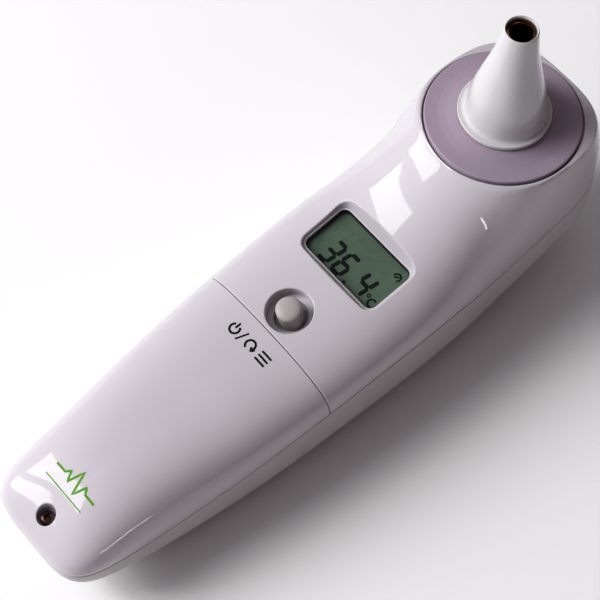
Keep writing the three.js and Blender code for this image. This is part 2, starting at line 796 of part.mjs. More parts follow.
boardScrewSides.forEach((y, index) => {
  const head = place(
    face,
    `board_screw_${index + 1}`,
    screw(1.7, 1.1, 0.75, 5.2),
    steel,
    boardScrewX,
    y,
    underBoard + 5.2,
  );
  head.rotation.x = Math.PI;
});
place(face, "recall_button", recallButton(), buttonGrey, recall.x);
place(face, "recall_switch", tactSwitch(), blackPlastic, recall.x, 0, board.top + gap);

// Scan button with its switch on a small upright board.
place(body, "scan_button", scanButton(), buttonGreen);
const scanSwitch = place(body, "scan_switch", tactSwitch(), blackPlastic, scan.flangeBack - 3.7, 0, scan.z);
scanSwitch.rotation.y = Math.PI / 2;
const scanBoardFace = scan.flangeBack - 4;
place(
  body,
  "scan_board",
  block(scanBoardFace - 1, scanBoardFace, -6, 6, scan.z - 5, scan.z + 3.6),
  boardGreen,
);

// Probe, from the outside inwards.
place(probe, "probe_cone", probeCone(), probeGloss);
place(probe, "probe_collar", probeCollar(), collarMatte);
place(probe, "wave_guide", waveGuide(), gold);
place(probe, "sensor_can", sensorCan(), steel);
place(probe, "sensor_block", sensorBlock(), aluminium);
place(probe, "sensor_retainer", sensorRetainer(), blackPlastic);
retainerScrewSides.forEach((y, index) => {
  const head = place(probe, `retainer_screw_${index + 1}`, screw(1.7, 1.1, 0.75, 3.2), steel, 0, y, -3.1);
  head.rotation.x = Math.PI;
});
place(
  body,
  "sensor_cable",
  ribbon(
    [
      [129.6, 41.2],
      [129.2, 34],
      [126, 27],
      [116, 22.5],
      [108.6, 21.9],
    ],
    2.6,
    0.5,
  ),
  labelFilm,
);
place(body, "buzzer", bar(6, 4.4, 7.4, 108, 0, 28), blackPlastic);

export default thermometer;
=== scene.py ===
"""Digital ear thermometer: fine shells, probe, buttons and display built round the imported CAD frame."""

import json
import math

import bmesh
import bpy
import numpy as np
from mathutils import Matrix, Vector
from mathutils.bvhtree import BVHTree


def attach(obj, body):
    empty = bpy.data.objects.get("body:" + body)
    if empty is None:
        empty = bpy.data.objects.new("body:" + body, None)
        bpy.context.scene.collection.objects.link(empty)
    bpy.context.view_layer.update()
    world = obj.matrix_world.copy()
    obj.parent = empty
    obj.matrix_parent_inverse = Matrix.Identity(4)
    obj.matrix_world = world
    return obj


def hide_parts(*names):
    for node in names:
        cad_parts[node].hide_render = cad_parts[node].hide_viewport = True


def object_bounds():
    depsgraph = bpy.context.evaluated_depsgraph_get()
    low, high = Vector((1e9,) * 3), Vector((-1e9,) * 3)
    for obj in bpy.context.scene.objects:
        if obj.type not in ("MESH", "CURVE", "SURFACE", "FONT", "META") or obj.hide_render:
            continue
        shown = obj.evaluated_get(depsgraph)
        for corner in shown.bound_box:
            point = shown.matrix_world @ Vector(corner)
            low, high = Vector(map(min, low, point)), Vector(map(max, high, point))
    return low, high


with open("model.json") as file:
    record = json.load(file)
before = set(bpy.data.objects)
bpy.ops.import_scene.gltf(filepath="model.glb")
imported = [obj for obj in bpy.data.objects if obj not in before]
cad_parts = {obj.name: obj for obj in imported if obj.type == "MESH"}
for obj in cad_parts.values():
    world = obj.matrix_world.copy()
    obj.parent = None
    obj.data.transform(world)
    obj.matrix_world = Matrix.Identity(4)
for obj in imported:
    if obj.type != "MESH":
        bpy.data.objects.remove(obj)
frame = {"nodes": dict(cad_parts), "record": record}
cad_low, cad_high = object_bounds()

# -------- driving dimensions, in millimetres
# Body coordinates: x from the tail end towards the head, y to the left, z up from the table.
MM = 0.001
TAIL = cad_low[0] / MM

# One row per station: x, half width, crown, parting line, back, squareness of the section's arch.
STATIONS = np.array([
    [0, 14.5, 20.5, 16.4, 10.0, 2.75],
    [20, 16.6, 26.5, 14.8, 3.0, 2.75],
    [45, 19.2, 28.4, 17.6, 0.0, 2.75],
    [68, 20.5, 29.4, 20.1, -0.6, 2.75],
    [90, 21.0, 32.0, 21.5, -0.6, 2.5],
    [98, 20.8, 35.0, 21.4, -0.6, 2.2],
    [106, 20.4, 39.5, 20.6, 0.0, 2.2],
    [114, 19.9, 45.3, 20.5, 1.6, 2.35],
    [128, 19.7, 59.5, 23.7, 5.6, 2.6],
    [150, 19.7, 59.5, 28.4, 15.0, 2.6],
])
HALF_WIDTH, CROWN, PARTING, BACK, ARCH = range(1, 6)
TAIL_REACH = 16.5
TAIL_SQUARENESS = 4.6
HEAD_CENTRE = 128
HEAD_REACH = 21.7
HEAD_SQUARENESS = 3
BACK_SQUARENESS = 4.4
WALL = 1.8
GAP = 0.3
SEAM = 64.5
SEAM_GAP = 0.18
EDGE_ROUND = 0.22
SHARP_ANGLE = 35  # degrees between two faces that are shaded as an edge

FACE = Matrix.Translation((89.4, 0, 31.9)) @ Matrix.Rotation(math.radians(-7), 4, "Y")
PROBE = Matrix.Translation((130.6, 0, 44.2)) @ Matrix.Rotation(math.radians(4.5), 4, "Y")
UPRIGHT = Matrix.Identity(4)

COLLAR_RADIUS = 17.0
COLLAR_PLANE = -0.6  # the head is cut flat here, in the probe frame
DECK_TOP = -1.9
DECK_BORE = 7.5
PLINTH_RADIUS = 10.1
PLINTH_TOP = 2.6
PLINTH_BOTTOM = 1.5  # underside of the cone's flange
PROBE_SLEEVE = (5.95, 7.0)  # inside and outside radius of the cone's foot, below the flange
TIP = 29.6
TIP_BORE = 2.95

RECALL_X = -18.8  # in the face frame
RECALL = FACE @ Matrix.Translation((RECALL_X, 0, 0))
RECALL_WELL = 5.15
RECALL_DEPTH = 3.0
RECALL_FLOOR = 1.0  # thickness of the well's floor
RECALL_CAP = 2.9
RECALL_TOP = 1.75  # top of the cap above the face plane
DISPLAY_DEPTH = 2.0
DISPLAY_HALF = (6.15, 11.0)  # half the opening along x and across y
DISPLAY_CORNER = 1.8
DISPLAY_LEDGE = 0.35  # flat ledge round the opening, at the foot of the sloping walls
GLASS_TOP = -3.6  # top of the display glass, in the face frame

SCREW_X = 5.4
SCREW = Matrix.Translation((SCREW_X, 0, 0))
SCREW_BORE = 2.15
SCREW_HEAD = 1.65
SCREW_TOP = 20.3
SCREW_SEAT = 18.7

SCAN_Z = 29.0
SCAN_HALF = (13.2, 7.5)  # half width and half height
SCAN_PROUD = 1.0
SCAN_FLANGE = 141.6
SCAN_WALL = 143.5  # a place inside the head's end wall, where the opening's cutter starts

# x, y and the seat of the screw's head
SHELL_SCREWS = [(76, 14.6, 9), (76, -14.6, 9), (135, 14.6, 18.5), (135, -14.6, 18.5)]
SHELL_SCREW_WELL = 2.5
SHELL_SCREW_HOLE = 1.3
BOSS_RADIUS = 3.6
LABEL = (56, 86, 8)  # from x, to x, half width


# -------- mesh helpers
def new_piece(name, points, faces, angle=SHARP_ANGLE):
    """A mesh object from points in body millimetres, with faces turned outwards and smooth shading."""
    mesh = bpy.data.meshes.new(name)
    placed = (np.asarray(points, float) + (TAIL, 0, 0)) * MM
    mesh.from_pydata(placed.tolist(), [], [list(face) for face in faces])
    shape = bmesh.new()
    shape.from_mesh(mesh)
    bmesh.ops.remove_doubles(shape, verts=shape.verts, dist=1e-7)
    bmesh.ops.dissolve_degenerate(shape, edges=shape.edges, dist=1e-7)
    bmesh.ops.recalc_face_normals(shape, faces=shape.faces)
    shape.to_mesh(mesh)
    shape.free()
    mesh.shade_smooth()
    mesh.set_sharp_from_angle(angle=math.radians(angle))
    piece = bpy.data.objects.new(name, mesh)
    bpy.context.scene.collection.objects.link(piece)
    return piece


def move_points(matrix, points):
    """Points from a local frame to body coordinates."""
    turn = np.array(matrix.to_3x3())
    return np.asarray(points, float) @ turn.T + np.array(matrix.translation)


def loft(rings, closed_ends=True):
    """Points and faces for rings of equal length. The two ends are closed with one face each."""
    count = len(rings[0])
    points = np.concatenate(rings)
    faces = []
    for level in range(len(rings) - 1):
        for i in range(count):
            a = level * count + i
            b = level * count + (i + 1) % count
            faces.append((a, b, b + count, a + count))
    if closed_ends:
        faces.append(tuple(range(count - 1, -1, -1)))
        faces.append(tuple(range(len(points) - count, len(points))))
    return points, faces


def lofted(name, rings, closed_ends=True, angle=SHARP_ANGLE):
    """A piece lofted through rings."""
    return new_piece(name, *loft(rings, closed_ends), angle)


def circle(radius, height, segments=72, x=0, y=0):
    """A ring of points round the local z axis."""
    angles = np.linspace(0, 2 * math.pi, segments, endpoint=False)
    return np.stack(
        [x + radius * np.cos(angles), y + radius * np.sin(angles), np.full(segments, height)], 1
    )


def rounded_rectangle(low, high, corner, height, per_corner=6, per_side=14):
    """A ring round a rectangle with rounded corners, with points along its sides too."""
    ring = []
    centres = [
        (high[0] - corner, high[1] - corner),
        (low[0] + corner, high[1] - corner),
        (low[0] + corner, low[1] + corner),
        (high[0] - corner, low[1] + corner),
    ]
    for quarter, (x, y) in enumerate(centres):
        for i in range(per_corner + 1):
            angle = math.pi / 2 * (quarter + i / per_corner)
            ring.append((x + corner * math.cos(angle), y + corner * math.sin(angle), height))
        start = np.array(ring[-1])
        next_x, next_y = centres[(quarter + 1) % 4]
        turn = math.pi / 2 * (quarter + 1)
        end = np.array([next_x + corner * math.cos(turn), next_y + corner * math.sin(turn), height])
        for i in range(1, per_side):
            ring.append(tuple(start + (end - start) * i / per_side))
    return np.array(ring)


def shrunk(ring, inset):
    """A ring pulled in by so much on each side."""
    size = np.abs(ring[:, :2]).max(0)
    scale = (size - inset) / size
    return ring * (*scale, 1)


def rounded_profile(corners, steps=5):
    """A closed outline of (radius, height, corner round), with each corner turned into an arc."""
    outline = []
    total = len(corners)
    for i, (radius, height, rounding) in enumerate(corners):
        here = np.array([radius, height], float)
        if rounding == 0:
            outline.append(here)
            continue
        before = np.array(corners[i - 1][:2], float) - here
        after = np.array(corners[(i + 1) % total][:2], float) - here
        start = here + before / np.linalg.norm(before) * rounding
        end = here + after / np.linalg.norm(after) * rounding
        for step in range(steps + 1):
            t = step / steps
            outline.append((1 - t) ** 2 * start + 2 * t * (1 - t) * here + t**2 * end)
    return outline


def turned(name, outline, matrix, segments=96, angle=SHARP_ANGLE):
    """A turned piece about the local z axis, from a closed outline of (radius, height)."""
    closed = [*outline, outline[0]]
    rings = [move_points(matrix, circle(radius, height, segments)) for radius, height in closed]
    return lofted(name, rings, closed_ends=False, angle=angle)


def carve(piece, *cutters):
    """Cuts the cutters out of the piece and removes them."""
    for cutter in cutters:
        step = piece.modifiers.new("carve", "BOOLEAN")
        step.operation = "DIFFERENCE"
        step.solver = "EXACT"
        step.object = cutter
    graph = bpy.context.evaluated_depsgraph_get()
    made = bpy.data.meshes.new_from_object(piece.evaluated_get(graph))
    piece.modifiers.clear()
    old = piece.data
    piece.data = made
    made.name = piece.name
    bpy.data.meshes.remove(old)
    for cutter in cutters:
        bpy.data.objects.remove(cutter)


def hermite(t, start, end, start_slope, end_slope):
    """A smooth step from start to end as t goes from 0 to 1, leaving and arriving at the slopes."""
    return (
        (2 * t**3 - 3 * t**2 + 1) * start
        + (t**3 - 2 * t**2 + t) * start_slope
        + (3 * t**2 - 2 * t**3) * end
        + (t**3 - t**2) * end_slope
    )


def smooth_line(points, steps):
    """A smooth curve of (radius, height) through the points."""
    points = np.array(points, float)
    last = len(points) - 1
    slopes = np.gradient(points, axis=0)
    curve = []
    for place in np.linspace(0, last, steps):
        i = min(int(place), last - 1)
        curve.append(hermite(place - i, points[i], points[i + 1], slopes[i], slopes[i + 1]))
    return curve


# -------- the body's outer form
def along(column, x):
    """A smooth curve through one column of the stations."""
    x = np.asarray(x, float)
    places = STATIONS[:, 0]
    values = STATIONS[:, column]
    last = len(places) - 1
    i = np.clip(np.searchsorted(places, x, side="left") - 1, 0, last - 1)
    before = np.maximum(np.arange(last + 1) - 1, 0)
    after = np.minimum(np.arange(last + 1) + 1, last)
    slope = (values[after] - values[before]) / (places[after] - places[before])
    span = places[i + 1] - places[i]
    t = np.clip((x - places[i]) / span, 0, 1)
    return hermite(t, values[i], values[i + 1], span * slope[i], span * slope[i + 1])


def superellipse(angle, squareness):
    """The point of a unit superellipse in the direction of angle."""
    c = np.abs(np.cos(angle))
    s = np.abs(np.sin(angle))
    size = (c**squareness + s**squareness) ** (-1 / squareness)
    return c * size, s * size


def rim_rows(inset, from_tail, to_head):
    """Half of the parting line: x, distance from the middle, and the centre-line place it rises to."""
    spacing = 0.9
    rows = []
    if from_tail:
        forward, sideways = superellipse(np.linspace(0, math.pi / 2, 25), TAIL_SQUARENESS)
        x = TAIL_REACH - (TAIL_REACH - inset) * forward
        y = (along(HALF_WIDTH, x) - inset) * sideways
        rows.append(np.stack([x, y, np.full(len(x), TAIL_REACH)], 1)[:-1])
    start = TAIL_REACH if from_tail else SEAM + SEAM_GAP / 2
    end = HEAD_CENTRE if to_head else SEAM - SEAM_GAP / 2
    x = np.linspace(start, end, round((end - start) / spacing))
    rows.append(np.stack([x, along(HALF_WIDTH, x) - inset, x], 1))
    if to_head:
        sideways, forward = superellipse(np.linspace(0, math.pi / 2, 37), HEAD_SQUARENESS)
        x = HEAD_CENTRE + (HEAD_REACH - inset) * forward
        y = (along(HALF_WIDTH, HEAD_CENTRE) - inset) * sideways
        rows.append(np.stack([x, y, np.full(len(x), HEAD_CENTRE)], 1)[1:])
    return np.concatenate(rows)


def under_plane(points, matrix, height, blend, inside=None):
    """Lowers points that stand above a plane of a local frame, with a rounded shoulder."""
    local = move_points(matrix.inverted(), points.reshape(-1, 3))
    h = local[:, 2] - height
    lowered = np.where(h > blend, 0, np.where(h < -blend, h, h - (h + blend) ** 2 / (4 * blend)))
    if inside is not None:
        lowered = np.where(inside(local[:, 0], local[:, 1]), lowered, h)
    local[:, 2] = lowered + height
    return move_points(matrix, local).reshape(points.shape)


def raise_inside(points, matrix, height, inside):
    """Raises points of a lower shell's inside to a height within an outline."""
    local = move_points(matrix.inverted(), points.reshape(-1, 3))
    raised = np.maximum(local[:, 2], height)
    local[:, 2] = np.where(inside(local[:, 0], local[:, 1]), raised, local[:, 2])
    return move_points(matrix, local).reshape(points.shape)


def body_grid(upper, inset, shift, from_tail=True, to_head=True, levels=56):
    """A grid of points over one half of the body: rows along it, columns from right rim to left rim."""
    rim = rim_rows(inset, from_tail, to_head)
    spine = rim[:, 2:3]
    squareness = along(ARCH, spine) if upper else np.full(spine.shape, BACK_SQUARENESS)
    reach, rise = superellipse(np.linspace(0, math.pi / 2, levels + 1)[None, :], squareness)
    reach[:, -1] = 0
    rise[:, 0] = 0
    x = spine + reach * (rim[:, 0:1] - spine)
    y = -reach * rim[:, 1:2]
    base = along(PARTING, x) + shift
    far = along(CROWN, np.minimum(x, HEAD_CENTRE)) - inset if upper else along(BACK, x) + inset
    z = base + rise * (far - base)
    if not upper:
        flat_blend = 0.25
        h = z - inset
        z = inset + np.where(h > flat_blend, h, np.maximum(h + flat_blend, 0) ** 2 / (4 * flat_blend))
    right = np.stack([x, y, z], 2)
    left = (right * (1, -1, 1))[:, -2::-1]
    grid = np.concatenate([right, left], 1)
    if upper:
        grid = under_plane(grid, PROBE, COLLAR_PLANE - inset, blend=0.9)
    return grid


def grid_faces(rows, columns, start=0):
    """Quads over a grid of rows x columns points."""
    faces = []
    for i in range(rows - 1):
        for j in range(columns - 1):
            a = start + i * columns + j
            faces.append((a, a + 1, a + 1 + columns, a + columns))
    return faces


def measuring_skin():
    """The whole body with no gap, used to find the surface's height and slope anywhere."""
    points = np.empty((0, 3))
    faces = []
    for upper in (True, False):
        grid = body_grid(upper, 0, 0, levels=64)
        faces += grid_faces(*grid.shape[:2], len(points))
        points = np.concatenate([points, grid.reshape(-1, 3)])
    shape = bmesh.new()
    vertices = [shape.verts.new(point) for point in points]
    for face in faces:
        shape.faces.new([vertices[i] for i in face])
    bmesh.ops.remove_doubles(shape, verts=shape.verts, dist=1e-4)
    bmesh.ops.dissolve_degenerate(shape, edges=shape.edges, dist=1e-4)
    bmesh.ops.recalc_face_normals(shape, faces=shape.faces)
    bmesh.ops.triangulate(shape, faces=shape.faces)
    shape.normal_update()
    shape.verts.index_update()
    corners = [[vertex.index for vertex in face.verts] for face in shape.faces]
    normals = [vertex.normal.copy() for vertex in shape.verts]
    places = [vertex.co.copy() for vertex in shape.verts]
    tree = BVHTree.FromPolygons(places, corners)
    shape.free()
    return tree, places, corners, normals


SKIN, SKIN_POINTS, SKIN_CORNERS, SKIN_NORMALS = measuring_skin()


def smooth_normal(index, place):
    """The skin's normal at a place on one of its triangles, blended from the triangle's corners."""
    a, b, c = (SKIN_POINTS[i] for i in SKIN_CORNERS[index])
    whole = (b - a).cross(c - a).length
    if whole < 1e-9:
        return SKIN_NORMALS[SKIN_CORNERS[index][0]]
    weights = [(b - place).cross(c - place).length, (c - place).cross(a - place).length]
    weights.append((a - place).cross(b - place).length)
    blended = Vector((0, 0, 0))
    for weight, corner in zip(weights, SKIN_CORNERS[index]):
        blended += SKIN_NORMALS[corner] * weight
    return blended.normalized()


def skin_along(origin, direction):
    """Where a line from inside the body leaves it, and the surface's normal there."""
    place, _, index, _ = SKIN.ray_cast(Vector(origin), Vector(direction))
    return place, smooth_normal(index, place)


def skin_above(x, y):
    """The top surface's point and normal over a place in the plan."""
    place, _, index, _ = SKIN.ray_cast(Vector((x, y, 90)), Vector((0, 0, -1)))
    return place, smooth_normal(index, place)


def shell_piece(name, upper, pads, from_tail=True, to_head=True):
    """A closed shell of one half of the body. Each pad thickens the wall to a level within an outline."""
    shift = GAP / 2 if upper else -GAP / 2
    outer = body_grid(upper, 0, shift, from_tail, to_head)
    inner = body_grid(upper, WALL, shift, from_tail, to_head)
    for matrix, height, inside in pads:
        if upper:
            inner = under_plane(inner, matrix, height, blend=0.01, inside=inside)
        else:
            inner = raise_inside(inner, matrix, height, inside)
    rows, columns = outer.shape[:2]
    total = rows * columns
    faces = grid_faces(rows, columns) + grid_faces(rows, columns, total)
    edges = [((i, j), (i + 1, j)) for j in (0, columns - 1) for i in range(rows - 1)]
    cut_rows = ([] if from_tail else [0]) + ([] if to_head else [rows - 1])
    edges += [((i, j), (i, j + 1)) for i in cut_rows for j in range(columns - 1)]
    for (i, j), (k, m) in edges:
        a, b = i * columns + j, k * columns + m
        faces.append((a, b, b + total, a + total))
    points = np.concatenate([outer.reshape(-1, 3), inner.reshape(-1, 3)])
    piece = new_piece(name, points, faces)
    round_rim(piece)
    return piece


def round_rim(piece):
    """Rounds the outer edge all round a shell's rim."""
    shape = bmesh.new()
    shape.from_mesh(piece.data)
    sharp = []
    for edge in shape.edges:
        if len(edge.link_faces) != 2 or edge.calc_face_angle() < math.radians(60):
            continue
        middle = (edge.verts[0].co + edge.verts[1].co) / 2 / MM - Vector((TAIL, 0, 0))
        _, _, _, distance = SKIN.find_nearest(middle)
        if distance < GAP:
            sharp.append(edge)
    bmesh.ops.bevel(
        shape,
        geom=sharp,
        offset=EDGE_ROUND * MM,
        segments=3,
        profile=0.5,
        affect="EDGES",
        clamp_overlap=True,
    )
    shape.to_mesh(piece.data)
    shape.free()


def settle_normals(piece):
    """Gives faces on the body's skin the skin's own normals, so that cuts leave no marks in the gloss."""
    mesh = piece.data
    mesh.shade_smooth()
    mesh.set_sharp_from_angle(angle=math.radians(SHARP_ANGLE))
    found = []
    for vertex in mesh.vertices:
        place = vertex.co / MM - Vector((TAIL, 0, 0))
        near, _, index, distance = SKIN.find_nearest(place)
        found.append(smooth_normal(index, near) if distance < GAP else None)
    normals = [Vector((0, 0, 0))] * len(mesh.loops)
    for face in mesh.polygons:
        corners = [mesh.loops[i].vertex_index for i in face.loop_indices]
        if all(found[c] is not None and found[c].dot(face.normal) > 0.97 for c in corners):
            for i, corner in zip(face.loop_indices, corners):
                normals[i] = found[corner]
    mesh.normals_split_custom_set(normals)


# -------- cutters with rounded lips
def lipped_cutter(name, matrix, below, edge, directions, lip, rise=6):
    """A cutter that leaves a rounded lip where it meets the skin.

    below holds the deeper rings, edge the ring at the wall's foot and directions the way the wall
    climbs from each point of the edge, all in the local frame.
    """
    lip_end = 0.72  # place on the lip's curve from where it runs on straight
    turn = matrix.to_3x3()
    up = turn @ Vector((0, 0, 1))
    rings = [move_points(matrix, ring) for ring in below]
    foot = move_points(matrix, edge)
    middle = Vector(foot.mean(0))
    stages = [[] for _ in range(6)]
    for point, direction in zip(foot, directions):
        start = Vector(point)
        wall = (turn @ Vector(direction)).normalized()
        meet, normal = skin_along(start, wall)
        outward = start - middle
        outward = (outward - outward.dot(normal) * normal).normalized()
        low = meet - wall * lip
        far = meet + outward * lip
        for stage, t in zip(stages, (0, 0.25, 0.5, lip_end)):
            stage.append((1 - t) ** 2 * low + 2 * t * (1 - t) * meet + t**2 * far)
        slope = ((1 - lip_end) * (meet - low) + lip_end * (far - meet)).normalized()
        stages[4].append(stages[3][-1] + slope * lip * 0.9)
        stages[5].append(stages[4][-1] + up * rise)
    rings += [foot, *(np.array(stage) for stage in stages)]
    return lofted(name, rings)


def round_cutter(name, matrix, hole, bottom, radius, floor, lip, rise=6, segments=72):
    """A round pocket of a radius down to its floor, with a smaller hole from there to the bottom."""
    below = [circle(hole, bottom, segments), circle(hole, floor, segments)]
    edge = circle(radius, floor, segments)
    return lipped_cutter(name, matrix, below, edge, [(0, 0, 1)] * segments, lip, rise)


def recall_well():
    """The round well of the recall button, with the cap's hole in its floor."""
    hole = RECALL_CAP + 0.9
    return round_cutter("recall_well", RECALL, hole, -9, RECALL_WELL, -RECALL_DEPTH, 0.45)


def display_recess():
    """The display's opening, with walls that slope most gently on the tail side."""
    half_x, half_y = DISPLAY_HALF
    opening = rounded_rectangle((-half_x, -half_y), (half_x, half_y), DISPLAY_CORNER, -DISPLAY_DEPTH)
    half_x, half_y = half_x + DISPLAY_LEDGE, half_y + DISPLAY_LEDGE
    corner = DISPLAY_CORNER + DISPLAY_LEDGE
    edge = rounded_rectangle((-half_x, -half_y), (half_x, half_y), corner, -DISPLAY_DEPTH)
    run_tail, run_head, run_side = 1.0, 0.75, 0.65  # run of each wall for a rise of the depth
    turn_in = 0.7  # how early the corners take up the next wall's slope
    bevel = 0.08
    directions = []
    for x, y, _ in edge:
        towards_x = np.clip((abs(x) - half_x + corner) / corner, 0, 1)
        towards_y = np.clip((abs(y) - half_y + corner) / corner, 0, 1)
        run_x = run_head if x > 0 else -run_tail
        run_y = math.copysign(run_side, y)
        directions.append((run_x * towards_x**turn_in, run_y * towards_y**turn_in, DISPLAY_DEPTH))
    below = [opening - (0, 0, 6), opening - (0, 0, bevel), shrunk(opening, -bevel)]
    return lipped_cutter("display_recess", FACE, below, edge, directions, 0.35)


def collar_seat():
    """The seat sunk into the head for the collar, with the probe's hole through its deck."""
    seat = COLLAR_RADIUS + 0.35
    return round_cutter("collar_seat", PROBE, DECK_BORE, -12, seat, DECK_TOP, 0.3, 4, 96)


def door_counterbore():
    """The screw's counterbore in the door, with a clearance hole for its shank."""
    hole = 1.2
    return round_cutter(
        "door_counterbore", SCREW, hole, -2, SCREW_BORE, SCREW_SEAT, 0.3, segments=48
    )


def scan_opening(name):
    """An oval opening through the head end, in a frame whose z is the body's x."""
    matrix = Matrix.Translation((SCAN_WALL, 0, SCAN_Z)) @ Matrix.Rotation(math.pi / 2, 4, "Y")
    half_width, half_height = SCAN_HALF
    ring = circle(1, 0, 96) * (half_height + GAP, half_width + GAP, 1)
    return lipped_cutter(name, matrix, [ring - (0, 0, 4)], ring, [(0, 0, 1)] * len(ring), 0.3, 4)


def straight_cutter(name, matrix, rings):
    """A plain cutter through rings of a local frame."""
    return lofted(name, [move_points(matrix, ring) for ring in rings])


# -------- materials
def base_material(name):
    """A new node material, its shader and its object coordinates."""
    material = bpy.data.materials.new(name)
    material.use_nodes = True
    where = add_node(material, "ShaderNodeTexCoord").outputs["Object"]
    return material, material.node_tree.nodes["Principled BSDF"], where


def add_node(material, kind, inputs=None, **settings):
    """A node with its settings, and each input either linked or set."""
    tree = material.node_tree
    node = tree.nodes.new(kind)
    for key, value in settings.items():
        setattr(node, key, value)
    for key, value in (inputs or {}).items():
        if isinstance(value, bpy.types.NodeSocket):
            tree.links.new(value, node.inputs[key])
        else:
            node.inputs[key].default_value = value
    return node


def noise(material, where, scale, detail=3.0, roughness=0.55):
    """A noise's factor at so many cells per metre."""
    inputs = {"Vector": where, "Scale": scale, "Detail": detail, "Roughness": roughness}
    return add_node(material, "ShaderNodeTexNoise", inputs).outputs["Fac"]


def mapped(material, value, low, high, from_low=0.3, from_high=0.7):
    """A factor spread over a new range."""
    inputs = {"Value": value, "From Min": from_low, "From Max": from_high, "To Min": low, "To Max": high}
    node = add_node(material, "ShaderNodeMapRange", inputs, interpolation_type="SMOOTHSTEP")
    return node.outputs["Result"]


def mixed(material, factor, first, second):
    """Two colours mixed by a factor."""
    inputs = {"Factor": factor}
    for key, colour in ((6, first), (7, second)):
        inputs[key] = colour if isinstance(colour, bpy.types.NodeSocket) else (*colour, 1)
    return add_node(material, "ShaderNodeMix", inputs, data_type="RGBA").outputs[2]


def add_relief(material, shader, height, strength, depth):
    """A bump of a depth in millimetres on the shader."""
    inputs = {"Height": height, "Strength": strength, "Distance": depth * MM}
    relief = add_node(material, "ShaderNodeBump", inputs)
    material.node_tree.links.new(relief.outputs["Normal"], shader.inputs["Normal"])


def moulded(
    name, colour, roughness, tint=0.93, grain=1400, bump=0.02, coat=0.0, metallic=0.0, specular=0.5
):
    """Moulded plastic or plain metal: soft mottling, fine grain, faint scuffs and uneven gloss."""
    material, shader, where = base_material(name)
    links = material.node_tree.links
    mottle = noise(material, where, 45, 4)
    fine = noise(material, where, grain, 2)
    streaks = add_node(material, "ShaderNodeMapping", {"Vector": where, "Scale": (0.25, 1, 1)})
    scratches = noise(material, streaks.outputs["Vector"], 900, 6, 0.7)
    worn = mapped(material, scratches, 0, 1, 0.62, 0.78)
    darker = tuple(channel * tint for channel in colour)
    tone = mixed(material, mapped(material, mottle, 0, 1), colour, darker)
    paler = tuple(min(channel * 1.08, 1) for channel in colour)
    tone = mixed(material, worn, tone, paler)
    links.new(tone, shader.inputs["Base Color"])
    gloss = mapped(material, mottle, roughness * 0.88, roughness * 1.15)
    rubbed = add_node(material, "ShaderNodeMath", {0: worn, 1: 0.08, 2: gloss}, operation="MULTIPLY_ADD")
    links.new(rubbed.outputs["Value"], shader.inputs["Roughness"])
    add_relief(material, shader, fine, 0.35, bump)
    shader.inputs["Metallic"].default_value = metallic
    shader.inputs["Specular IOR Level"].default_value = specular
    shader.inputs["Coat Weight"].default_value = coat
    shader.inputs["Coat Roughness"].default_value = 0.04
    return material


def window_material(name):
    """Clear window: lets most light through and keeps a faint gloss and dust."""
    material, shader, where = base_material(name)
    links = material.node_tree.links
    dust = noise(material, where, 700, 5, 0.65)
    clear = add_node(material, "ShaderNodeBsdfTransparent")
    tint = mixed(material, mapped(material, dust, 0, 1, 0.4, 0.8), (0.97, 0.99, 0.97), (0.88, 0.9, 0.88))
    links.new(tint, clear.inputs["Color"])
    shader.inputs["Base Color"].default_value = (0.1, 0.11, 0.1, 1)
    links.new(mapped(material, dust, 0.04, 0.12), shader.inputs["Roughness"])
    add_relief(material, shader, dust, 0.1, 0.01)
    surfaces = {0: 0.05, 1: clear.outputs[0], 2: shader.outputs[0]}
    blend = add_node(material, "ShaderNodeMixShader", surfaces)
    links.new(blend.outputs[0], material.node_tree.nodes["Material Output"].inputs["Surface"])
    return material


GLOSSY = {"tint": 0.985, "coat": 1.0, "specular": 0.2}
METAL = {"metallic": 1.0}
# name: colour, roughness, what differs from plain moulded plastic
LOOKS = {
    "shell_plastic": ((0.505, 0.475, 0.515), 0.32, {"bump": 0.004, **GLOSSY}),
    "rear_plastic": ((0.5, 0.462, 0.47), 0.36, {"tint": 0.97, "grain": 2600}),
    "collar_plastic": ((0.33, 0.27, 0.335), 0.45, {"bump": 0.03, "grain": 2600}),
    "probe_plastic": ((0.54, 0.53, 0.55), 0.3, {"bump": 0.003, **GLOSSY}),
    "button_grey": ((0.36, 0.335, 0.33), 0.4, {"grain": 2200}),
    "button_green": ((0.03, 0.32, 0.05), 0.3, {"grain": 2000}),
    "display_glass": ((0.11, 0.155, 0.122), 0.35, {"tint": 0.85, "bump": 0.004}),
    "inner_white": ((0.62, 0.62, 0.58), 0.5, {}),
    "inner_black": ((0.02, 0.02, 0.023), 0.5, {}),
    # dark brown for the painted shade inside the probe tip's bore
    "bore_shade_brown": ((0.045, 0.022, 0.015), 0.5, {}),
    "board_green": ((0.03, 0.16, 0.06), 0.4, {"tint": 0.7, "coat": 0.3}),
    "elastomer": ((0.6, 0.4, 0.4), 0.75, {}),
    "label_film": ((0.5, 0.5, 0.52), 0.35, {}),
    "cell_jacket": ((0.06, 0.13, 0.3), 0.3, {"metallic": 0.35}),
    "screw_steel": ((0.55, 0.55, 0.56), 0.3, METAL),
    "screw_brown": ((0.12, 0.075, 0.06), 0.3, METAL),
    "spring_steel": ((0.6, 0.6, 0.58), 0.25, METAL),
    "gold": ((0.62, 0.4, 0.14), 0.22, METAL),
    "aluminium": ((0.6, 0.61, 0.62), 0.38, METAL),
    "ink_black": ((0.006, 0.006, 0.007), 0.5, {"specular": 0.2}),
    "ink_green": ((0.1, 0.3, 0.006), 0.5, {"specular": 0.2}),
    "ink_lcd": ((0.004, 0.005, 0.007), 0.6, {"specular": 0.1}),
}
MATERIALS = {"window_clear": window_material("window_clear")}
for look_name, (look_colour, look_roughness, extras) in LOOKS.items():
    MATERIALS[look_name] = moulded(look_name, look_colour, look_roughness, **extras)


